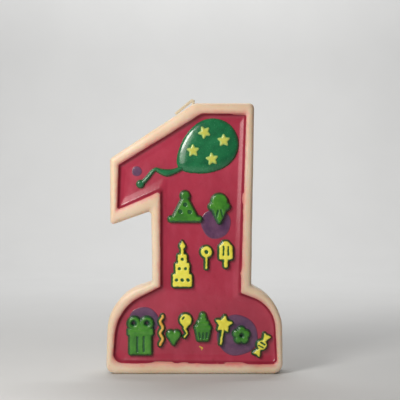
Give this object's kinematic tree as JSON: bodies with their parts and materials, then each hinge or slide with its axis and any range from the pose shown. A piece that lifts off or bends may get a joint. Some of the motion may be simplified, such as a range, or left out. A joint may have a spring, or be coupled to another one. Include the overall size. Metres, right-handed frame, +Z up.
{
  "type": "number birthday candle",
  "caption": "Moulded wax numeral-one birthday candle on a bell-shaped foot, with a sunken red face, raised party reliefs and a bendable cotton wick.",
  "frame": {"origin": "on the surface the candle stands on, at the middle of the foot's width and thickness", "axes": "+Z up along the numeral, +X to the right and -Y out of the decorated front"},
  "size_m": [0.0743, 0.016, 0.1169],
  "materials": {
    "cream_wax": "satin cream wax",
    "red_wax": "glossy raspberry-red wax",
    "dark_green_wax": "glossy dark green wax",
    "bright_green_wax": "glossy leaf-green wax",
    "yellow_wax": "satin yellow wax",
    "star_yellow_wax": "satin green-yellow wax",
    "orange_wax": "satin orange-yellow wax",
    "purple_wax": "glossy purple wax",
    "cotton_wick": "waxed braided cotton"
  },
  "bodies": {
    "candle": {"wax_body": "cream_wax", "red_layer": "red_wax", "wick_core": "cotton_wick", "balloon": "dark_green_wax", "balloon_string": "dark_green_wax", "balloon_star_1": "star_yellow_wax", "balloon_star_2": "star_yellow_wax", "balloon_star_3": "star_yellow_wax", "balloon_star_4": "star_yellow_wax", "purple_dot_1": "purple_wax", "purple_dot_2": "purple_wax", "purple_dot_3": "purple_wax", "purple_dot_4": "purple_wax", "party_hat": "dark_green_wax", "ice_cream": "dark_green_wax", "tiered_cake": "dark_green_wax", "lollipop": "dark_green_wax", "ice_lolly": "dark_green_wax", "gift_box": "dark_green_wax", "streamer": "dark_green_wax", "heart": "dark_green_wax", "toy_balloon": "dark_green_wax", "cupcake": "dark_green_wax", "star_wand": "dark_green_wax", "flower": "dark_green_wax", "sweet": "dark_green_wax", "party_hat_top": "bright_green_wax", "ice_cream_top": "bright_green_wax", "tiered_cake_top": "yellow_wax", "lollipop_top": "yellow_wax", "ice_lolly_top": "yellow_wax", "gift_box_top": "bright_green_wax", "streamer_top": "orange_wax", "heart_top": "bright_green_wax", "toy_balloon_top": "yellow_wax", "cupcake_top": "bright_green_wax", "star_wand_top": "yellow_wax", "flower_top": "bright_green_wax", "sweet_top": "yellow_wax"},
    "wick": {"wick_tip": "cotton_wick"}
  },
  "joints": [
    {"name": "wick_bend", "type": "hinge", "parent": "candle", "child": "wick", "pos_m": [-0.0006, 0, 0.1162], "axis": [0, 1, 0], "range_deg": [0, 129.5]}
  ]
}
